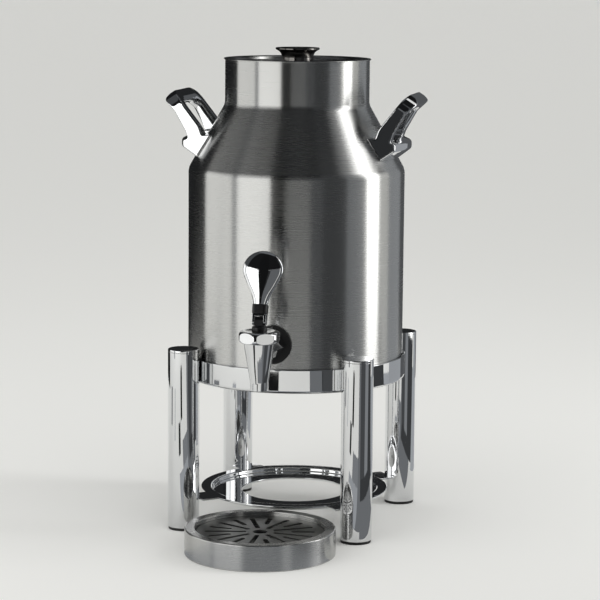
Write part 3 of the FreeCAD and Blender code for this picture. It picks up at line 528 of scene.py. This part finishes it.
class UrnLidBuild(bpy.types.Operator):
    """Spin the pressed lid and its flared knob"""
    bl_idname = "urn.lid"
    bl_label = "Lid and knob"

    def execute(self, context):
        s = sizes()
        radius = radius_of("lid_plate")
        top = heights_of("lid_plate")[1]
        under = top - s.lid_sheet
        slope_head = radius - s.lid_rim
        slope_foot = slope_head - s.lid_slope
        dish = top - s.lid_recess
        inner_bend = 1.0 * MM
        head_shift, foot_shift = 0.9 * MM, 0.7 * MM     # the slope's underside lies further in than its face
        sheet = [(radius, under, s.soft_edge), (radius, top, s.soft_edge), (slope_head, top, s.lid_bend),
                 (slope_foot, dish, s.lid_bend), (0, dish), (0, dish - s.lid_sheet),
                 (slope_foot - foot_shift, dish - s.lid_sheet, inner_bend),
                 (slope_head - head_shift, under, inner_bend)]
        fit(turned("lid", sheet), "lid", ["lid_plate"], lid_steel())
        dress(["lid_collar"], lid_steel())
        rim = radius_of("lid_knob")
        low, top = heights_of("lid_knob")
        foot_edge, lip_edge, cup_slope = 0.4 * MM, 0.7 * MM, 1.5 * MM
        cup = top - s.knob_cup
        knob = [(0, low), (s.knob_base, low, foot_edge), (s.knob_waist, top - s.knob_flare, s.knob_cove),
                (rim, top - s.knob_rim, s.soft_edge), (rim, top, lip_edge),
                (rim - s.knob_lip, top, lip_edge),
                (rim - s.knob_lip - cup_slope, cup, s.knob_cup), (0, cup)]
        fit(turned("knob", knob, steps=s.slim_steps), "lid", ["lid_knob"], knob_steel())
        return {"FINISHED"}


class UrnHandlesBuild(bpy.types.Operator):
    """Work up the two cast loop handles with polished, rounded edges"""
    bl_idname = "urn.handles"
    bl_label = "Handles"

    def execute(self, context):
        s = sizes()
        for node in ("handle_left", "handle_right"):
            handle = cast_from(node, "loop_" + node, 0)
            self.round_window(handle, *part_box(node))
            even = handle.modifiers.new("even mesh", "REMESH")
            even.mode = "VOXEL"
            even.voxel_size = s.handle_grain
            bpy.ops.object.modifier_apply(modifier=even.name)
            buffed = handle.modifiers.new("buffed edges", "SMOOTH")
            buffed.factor = 0.5
            buffed.iterations = s.handle_buffing
            bpy.ops.object.modifier_apply(modifier=buffed.name)
            bpy.ops.object.shade_smooth()
            fit(handle, "urn", [node], chrome())
        return {"FINISHED"}

    def round_window(self, handle, low, high):
        """Round the window's edges far more than the outer ones, as fingers ask. The window lies between the
        arms, above the foot and below the bar, which is measured along the handle's lean."""
        s = sizes()
        sharp, slack, facets = math.radians(40), 0.6 * MM, 5
        middle = (low + high) / 2
        half = high.y - middle.y - s.handle_arm + slack
        foot = low.z + s.handle_foot
        outwards = math.copysign(1, middle.x - AXIS.x)
        along = Vector((outwards * math.sin(s.handle_lean), 0, math.cos(s.handle_lean)))
        reach = [v.co.dot(along) for v in handle.data.vertices]
        bar = max(reach) - s.handle_bar
        activate(handle)
        bpy.ops.object.mode_set(mode="EDIT")
        bpy.ops.mesh.select_mode(type="EDGE")
        bpy.ops.mesh.select_all(action="DESELECT")
        bpy.ops.mesh.edges_select_sharp(sharpness=sharp)
        bpy.ops.object.mode_set(mode="OBJECT")
        inside = [abs(v.co.y - middle.y) < half and v.co.z > foot and at < bar
                  for v, at in zip(handle.data.vertices, reach)]
        for edge in handle.data.edges:
            edge.select = edge.select and all(inside[k] for k in edge.vertices)
        for vertex in handle.data.vertices:
            vertex.select = False
        bpy.ops.object.mode_set(mode="EDIT")
        bpy.ops.mesh.bevel(offset=s.handle_window_edge, segments=facets, affect="EDGES",
                           clamp_overlap=False)
        bpy.ops.object.mode_set(mode="OBJECT")


class UrnTapBuild(bpy.types.Operator):
    """Work up the tap: casting, gasket, bonnet and stem guide"""
    bl_idname = "urn.tap"
    bl_label = "Tap"

    def execute(self, context):
        s = sizes()
        casting = cast_from("tap_body", "tap_casting", s.soft_edge)
        fit(casting, "urn", ["tap_body"], chrome())
        bonnet = cast_from("tap_bonnet", "bonnet_cap", s.soft_edge)
        bpy.ops.transform.rotate(value=s.bonnet_turn, orient_axis="Z",
                                 center_override=centre_of("tap_bonnet"))
        bpy.ops.object.transform_apply(location=True, rotation=True, scale=True)
        fit(bonnet, "urn", ["tap_bonnet"], chrome())
        gasket = cast_from("tap_gasket", "wall_gasket", s.soft_edge)
        fit(gasket, "urn", ["tap_gasket"], rubber())
        dress(["stem_guide"], plastic())
        return {"FINISHED"}


class UrnLeverBuild(bpy.types.Operator):
    """Work up the lever: fork, collar and paddle"""
    bl_idname = "urn.lever"
    bl_label = "Lever"

    def execute(self, context):
        s = sizes()
        fork = cast_from("lever_fork", "fork_casting", s.soft_edge)
        fit(fork, "lever", ["lever_fork"], chrome())
        collar = cast_from("lever_collar", "paddle_collar", s.soft_edge)
        fit(collar, "lever", ["lever_collar"], plastic())
        dress(["tap_paddle"], chrome())
        return {"FINISHED"}


class UrnLegsBuild(bpy.types.Operator):
    """Turn one leg with its cap and foot pad, then copy it to the other corners"""
    bl_idname = "urn.legs"
    bl_label = "Legs"

    def execute(self, context):
        s = sizes()
        lead = LEGS[0]
        centre = centre_of("leg_cap_" + lead)
        radius = radius_of("leg_" + lead)
        low, high = heights_of("leg_" + lead)
        top = heights_of("leg_cap_" + lead)[1]
        bore = radius - s.leg_wall
        gap, seam_edge, foot_edge = 0.1 * MM, 0.25 * MM, 0.3 * MM
        pad_radius = radius - s.pad_inset
        tube = [(radius, low, foot_edge), (radius, high, seam_edge), (bore, high), (bore, low)]
        cap = [(0, high - s.cap_plug), (bore - gap, high - s.cap_plug), (bore - gap, high + gap),
               (radius, high + gap, seam_edge), (radius, top, s.cap_edge), (0, top)]
        pad = [(0, 0), (pad_radius, 0, s.pad_inset), (pad_radius, low), (0, low)]
        shapes = {"leg": (turned("leg_tube_" + lead, tube, centre, steps=s.slim_steps),
                          "polished_chrome", chrome()),
                  "leg_cap": (turned("leg_end_" + lead, cap, centre, steps=s.slim_steps),
                              "polished_chrome", chrome()),
                  "foot_pad": (turned("leg_foot_" + lead, pad, centre, steps=s.foot_steps),
                               "black_rubber", rubber())}
        for kind, (piece, slot, material) in shapes.items():
            for leg in LEGS[1:]:
                twin = copied(piece, piece.name.replace(lead, leg), centre_of("leg_cap_" + leg) - centre)
                fit(twin, "stand", [kind + "_" + leg], material)
            fit(piece, "stand", [kind + "_" + lead], material)
        return {"FINISHED"}


class UrnBandBuild(bpy.types.Operator):
    """Spin the rolled band that carries the urn"""
    bl_idname = "urn.band"
    bl_label = "Band"

    def execute(self, context):
        s = sizes()
        outer = radius_of("support_band")
        low, high = heights_of("support_band")
        inner = outer - s.band_wall
        ledge = outer - s.band_ledge
        ledge_edge, rim_edge, corner = 0.6 * MM, 0.7 * MM, 1.0 * MM
        path = [(ledge, low, ledge_edge), (outer, low, s.band_bend), (outer, high, rim_edge),
                (inner, high, rim_edge), (inner, low + s.band_wall, corner),
                (ledge, low + s.band_wall, ledge_edge)]
        band = turned("rolled_band", path, steps=s.wide_steps)
        fit(band, "stand", ["support_band"], chrome())
        return {"FINISHED"}


class UrnPlateBuild(bpy.types.Operator):
    """Spin the pressed burner plate and join a tab to each leg"""
    bl_idname = "urn.plate"
    bl_label = "Burner plate"

    def execute(self, context):
        s = sizes()
        top = heights_of("burner_plate")[1]
        under = top - s.plate_sheet
        step = top - s.plate_drop
        step_under = step - s.plate_sheet
        outside = s.plate_recess + s.plate_sheet
        edge, head_bend, foot_bend, outside_bend = 0.6 * MM, 2.2 * MM, 1.2 * MM, 2.6 * MM
        path = [(s.plate_radius, under, s.soft_edge), (s.plate_radius, top, edge),
                (s.plate_recess, top, head_bend), (s.plate_recess, step, foot_bend),
                (s.plate_hole, step, edge), (s.plate_hole, step_under, edge),
                (outside, step_under, outside_bend), (outside, under, s.soft_edge)]
        disc = turned("pressed_plate", path, steps=s.wide_steps)
        tabs = [self.tab(centre_of("leg_cap_" + leg), radius_of("leg_cap_" + leg), top) for leg in LEGS]
        activate(disc)
        for tab in tabs:
            tab.select_set(True)
        bpy.ops.object.join()
        fit(smoothed(disc), "stand", ["burner_plate"], chrome())
        return {"FINISHED"}

    def tab(self, leg, leg_radius, top):
        """Flat tab from the plate's rim into a leg, a little thinner than the plate."""
        s = sizes()
        overlap, sink, share = 4 * MM, 0.08, 0.96
        way = leg - AXIS
        inner = s.plate_recess + overlap
        outer = way.length - leg_radius * (1 - sink)
        clear_selection()
        bpy.ops.mesh.primitive_cube_add(size=1, location=(0, 0, 0))
        obj = bpy.context.object
        turn = Matrix.Rotation(math.atan2(way.y, way.x), 4, "Z")
        middle = AXIS + way.normalized() * (inner + outer) / 2 + Vector((0, 0, top - s.plate_sheet / 2))
        size = Matrix.Diagonal((outer - inner, s.tab_width, s.plate_sheet * share, 1))
        obj.matrix_world = Matrix.Translation(middle) @ turn @ size
        bpy.ops.object.transform_apply(location=True, rotation=True, scale=True)
        return soften(obj, s.soft_edge)


class UrnTrayBuild(bpy.types.Operator):
    """Spin the drip tray and work up its slotted grate"""
    bl_idname = "urn.tray"
    bl_label = "Drip tray"

    def execute(self, context):
        s = sizes()
        radius = radius_of("tray_rim")
        top = heights_of("tray_rim")[1]
        seat = radius - s.tray_rim
        well = seat - s.tray_ledge
        rest_gap = 0.05 * MM
        ledge = heights_of("drip_grate")[0] - rest_gap
        sheet = s.tray_sheet
        ledge_under, floor_under = ledge - sheet, s.tray_floor - sheet
        hem, crease, lip_bend, seat_bend, rim_bend = 0.3 * MM, 0.4 * MM, 1.2 * MM, 1.4 * MM, 1.5 * MM
        path = [(radius, 0, hem), (radius, top, rim_bend), (seat, top, lip_bend), (seat, ledge, crease),
                (well, ledge, lip_bend), (well, s.tray_floor, s.tray_bend), (0, s.tray_floor),
                (0, floor_under), (well + sheet, floor_under, s.tray_bend + 1 * MM),
                (well + sheet, ledge_under, hem), (seat + sheet, ledge_under, seat_bend),
                (seat + sheet, top - sheet, hem), (radius - sheet, top - sheet, crease),
                (radius - sheet, 0, hem)]
        pan = turned("pan", path, centre_of("tray_rim"))
        fit(pan, "tray", ["tray_rim", "tray_pan"], tray_steel())
        grate = cast_from("drip_grate", "grate", s.soft_edge / 2, segments=2)
        fit(grate, "grate", ["drip_grate"], grate_steel())
        return {"FINISHED"}


class UrnHardwareDress(bpy.types.Operator):
    """Give the hidden hardware its materials and work up the closing spring"""
    bl_idname = "urn.hardware"
    bl_label = "Hardware"

    def execute(self, context):
        dress(["band_screws", "handle_screws", "handle_washers", "tap_lock_nut", "knob_washer", "knob_screw",
               "pivot_pin"], zinc())
        dress(["tap_inner_washer", "seat_cup"], silicone())
        dress(["valve_stem"], plastic())
        coil = cast_from("valve_spring", "closing_coil", 0, flat=0.1)
        fit(coil, "valve", ["valve_spring"], zinc())
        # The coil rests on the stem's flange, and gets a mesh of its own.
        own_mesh(coil)
        return {"FINISHED"}


# Studio

def plain_material(name, tint, strength=None):
    """Stage surface: matt paint, or an even glow where a strength is given."""
    material, tree = blank_material(name)
    if tree is None:
        return material
    if strength is None:
        shader = add(tree, "ShaderNodeBsdfDiffuse", {"Color": tint, "Roughness": 0.6})
    else:
        shader = add(tree, "ShaderNodeEmission", {"Color": tint, "Strength": strength})
    add(tree, "ShaderNodeOutputMaterial", {"Surface": shader.outputs[0]})
    return material


def round_place(turn, distance, height=0.0):
    """Point round the urn's axis at a turn from the tap towards the right."""
    return AXIS + Vector((math.sin(turn), -math.cos(turn), 0)) * distance + Vector((0, 0, height))


def card(name, start, end, radius, low, high, glow, top_radius=None):
    """Tall card round the urn from one turn to another, in degrees, seen only in reflections. It leans in
    where its top has a radius of its own."""
    clear_selection()
    panels = max(1, round(abs(end - start) / 12))
    base = Vector((0, 0, low))
    turns = [math.radians(start + (end - start) * k / panels) for k in range(panels + 1)]
    corners = [round_place(turn, radius) for turn in turns]
    bpy.ops.mesh.primitive_plane_add(size=MM, location=corners[0] + base)
    obj = bpy.context.object
    obj.name = name
    bpy.ops.object.mode_set(mode="EDIT")
    bpy.ops.mesh.select_mode(type="VERT")
    bpy.ops.mesh.merge(type="CENTER")
    for here, there in zip(corners, corners[1:]):
        bpy.ops.mesh.extrude_vertices_move(TRANSFORM_OT_translate={"value": there - here})
    bpy.ops.mesh.select_all(action="SELECT")
    bpy.ops.mesh.extrude_region_move(TRANSFORM_OT_translate={"value": (0, 0, high - low)})
    if top_radius:
        share = top_radius / radius
        bpy.ops.transform.resize(value=(share, share, 1), center_override=AXIS + base)
    bpy.ops.object.mode_set(mode="OBJECT")
    reflected_only(obj, glow)


def reflected_only(obj, glow):
    """Make a stage piece an even, slightly cool grey that only reflections see."""
    less_red, more_blue = 0.96, 1.05
    tint = (less_red * glow, glow, more_blue * glow, 1)
    obj.data.materials.append(plain_material("card_" + obj.name, tint, 1.0))
    obj.visible_camera = False
    obj.visible_diffuse = False
    obj.visible_shadow = False
    obj.visible_transmission = False


def lamp(name, turn, distance, low, high, width, radiance):
    """Softbox that faces the urn, set by how bright its face looks."""
    clear_selection()
    height = (low + high) / 2
    place = round_place(math.radians(turn), distance, height)
    bpy.ops.object.light_add(type="AREA", location=place)
    obj = bpy.context.object
    obj.name = name
    obj.data.shape = "RECTANGLE"
    obj.data.size = width
    obj.data.size_y = high - low
    obj.data.energy = radiance * math.pi * width * (high - low)
    aim = round_place(0, 0, height)
    obj.rotation_euler = (aim - place).to_track_quat("-Z", "Y").to_euler()


class UrnStageBuild(bpy.types.Operator):
    """Set up the plain floor, soft light, cards and camera"""
    bl_idname = "urn.stage"
    bl_label = "Studio"

    def execute(self, context):
        stage = context.scene.urn_stage
        clear_selection()
        bpy.ops.mesh.primitive_circle_add(vertices=96, radius=stage.floor_radius, fill_type="NGON",
                                          location=AXIS)
        floor = bpy.context.object
        floor.name = "floor"
        floor.data.materials.append(plain_material("floor_paint_matt", colours().floor))
        # Upright cards: from and to in degrees from the tap, distance, foot and top in metres, and glow
        card("front_left_dark", -12, 1, 0.42, 0.17, 0.8, 0.008)
        card("front_dark", -12, 40, 1.3, 0, 0.24, 0.03)
        card("front_grey", 4, 41, 1.3, 0.24, 0.8, 0.13)
        card("front_edge_dark", -12, 4, 1.32, 0.24, 0.8, 0.03)
        card("front_right_dark", 37, 60, 0.45, 0, 0.8, 0.07)
        card("front_right_grey", 60, 80, 0.45, 0, 0.8, 0.24)
        card("back_right_grey", 121, 150, 0.9, 0, 0.9, 0.36)
        card("back_right_dark", 150, 178, 0.9, 0, 0.9, 0.10)
        card("back_edge_dark", 178, 196, 0.9, 0.21, 0.9, 0.02)
        card("back_dark", 196, 265, 0.9, 0, 0.9, 0.02)
        card("left_gap", -57, -51, 1.2, 0, 0.8, 0.3)
        # Cards that lean in overhead, with the distance of their tops last
        card("upper_dark", -45, 84, 1.3, 0.8, 1.7, 0.01, 0.62)
        card("upper_left_grey", -100, -45, 1.3, 0.8, 1.7, 0.07, 0.62)
        card("upper_back_dark", 112, 260, 1.3, 0.8, 1.7, 0.01, 0.62)
        self.ceiling(1.7, 0.7, 0.15)
        # Painted shadows on the floor, seen only in reflections: from and to in degrees, near and far edge in
        # metres, and glow
        self.shade("left_streak", -27, -16, 0.50, 0.70, 0.03)
        self.shade("front_streak", -14, -4, 0.70, 1.10, 0.01)
        self.shade("front_near", -24, 26, 0.20, 0.40, 0.35)
        self.shade("front_mid", -4, 26, 0.40, 0.56, 0.22)
        self.shade("right_edge", 26, 38, 0.20, 1.25, 0.17)
        self.shade("right_dark", 38, 112, 0.34, 1.25, 0.05)
        self.shade("right_near", 38, 100, 0.17, 0.34, 0.17)
        self.shade("back_right", 112, 150, 0.30, 1.00, 0.40)
        self.shade("left_grey", -78, -69, 0.68, 0.95, 0.20)
        self.shade("left_line", -52, -48, 0.60, 0.95, 0.40)
        # Softboxes: degrees from the tap, distance, foot, top and width in metres, and radiance
        lamp("left_softbox", -33, 1.3, 0, 0.8, 0.95, 0.9)
        lamp("left_back_softbox", -76, 1.3, 0, 0.8, 1.15, 0.42)
        lamp("right_strip", 97.5, 1.3, 0, 1.9, 0.37, 3.4)
        self.world(context.scene, stage)
        self.camera(context.scene, stage)
        context.scene.view_settings.view_transform = "Standard"
        return {"FINISHED"}

    def shade(self, name, start, end, inner, outer, glow):
        """Painted shadow: a dark or grey strip that glows on the floor where a shadow would lie, seen only in
        reflections.
        """
        lift = 1 * MM
        card(name + "_strip", start, end, inner, lift, lift, glow, outer)

    def ceiling(self, height, radius, glow):
        """Round card above the urn."""
        clear_selection()
        bpy.ops.mesh.primitive_circle_add(vertices=48, radius=radius, fill_type="NGON",
                                          location=AXIS + Vector((0, 0, height)))
        obj = bpy.context.object
        obj.name = "ceiling_card"
        reflected_only(obj, glow)

    def world(self, scene, stage):
        """Pale light all round. The camera and reflections see it at its written colour."""
        world = bpy.data.worlds.new("surround")
        world.use_nodes = True
        tree = world.node_tree
        tree.nodes.clear()
        path = add(tree, "ShaderNodeLightPath")
        mirrored = add(tree, "ShaderNodeMath", {0: path.outputs["Is Camera Ray"],
                                                1: path.outputs["Is Glossy Ray"]}, operation="ADD")
        seen = add(tree, "ShaderNodeMath", {0: mirrored.outputs[0], 1: path.outputs["Is Transmission Ray"]},
                   operation="ADD", use_clamp=True)
        level = add(tree, "ShaderNodeMapRange", {"Value": seen.outputs[0], "To Min": stage.surround_light,
                                                 "To Max": 1.0})
        glow = add(tree, "ShaderNodeBackground", {"Color": colours().surround,
                                                  "Strength": level.outputs[0]})
        add(tree, "ShaderNodeOutputWorld", {"Surface": glow.outputs[0]})
        scene.world = world

    def camera(self, scene, stage):
        """Camera at the photograph's angle, held a little askew as the photograph is."""
        turn = stage.camera_turn
        place = round_place(turn, stage.camera_distance, stage.camera_height)
        right = Vector((math.cos(turn), math.sin(turn), 0))
        height = stage.camera_height - stage.camera_distance * math.tan(stage.camera_pitch)
        aim = round_place(0, 0, height) + right * stage.camera_aim
        clear_selection()
        bpy.ops.object.camera_add(location=place)
        camera = bpy.context.object
        camera.name = "camera"
        look = (aim - place).to_track_quat("-Z", "Y").to_matrix().to_4x4()
        roll = Matrix.Rotation(stage.camera_roll, 4, "Z")
        camera.matrix_world = Matrix.Translation(place) @ look @ roll
        camera.data.lens = stage.lens
        camera.data.sensor_width = 36
        camera.data.clip_end = 200
        scene.camera = camera


class UrnPanel(bpy.types.Panel):
    """Sidebar panel that lists the urn's pieces"""
    bl_idname = "VIEW3D_PT_urn"
    bl_label = "Hot water urn"
    bl_space_type = "VIEW_3D"
    bl_region_type = "UI"
    bl_category = "Urn"

    def draw(self, context):
        for piece in PIECES:
            self.layout.operator(piece.bl_idname)
        for group in ("urn_sizes", "urn_colours", "urn_stage"):
            settings = getattr(context.scene, group)
            for key in settings.__annotations__:
                self.layout.prop(settings, key)


PIECES = (UrnShellBuild, UrnLidBuild, UrnHandlesBuild, UrnTapBuild, UrnLeverBuild, UrnLegsBuild,
          UrnBandBuild, UrnPlateBuild, UrnTrayBuild, UrnHardwareDress, UrnStageBuild)
GROUPS = {"urn_sizes": UrnSizes, "urn_colours": UrnColours, "urn_stage": UrnStage}


def register():
    """Register the settings, operators and panel."""
    for key, group in GROUPS.items():
        bpy.utils.register_class(group)
        setattr(bpy.types.Scene, key, bpy.props.PointerProperty(type=group))
    for item in PIECES + (UrnPanel,):
        bpy.utils.register_class(item)


def unregister():
    """Remove what register added."""
    for item in reversed(PIECES + (UrnPanel,)):
        bpy.utils.unregister_class(item)
    for key, group in GROUPS.items():
        delattr(bpy.types.Scene, key)
        bpy.utils.unregister_class(group)


def main():
    """Build every piece in order."""
    register()
    for piece in PIECES:
        group, name = piece.bl_idname.split(".")
        getattr(getattr(bpy.ops, group), name)()


if __name__ == "__main__":
    main()
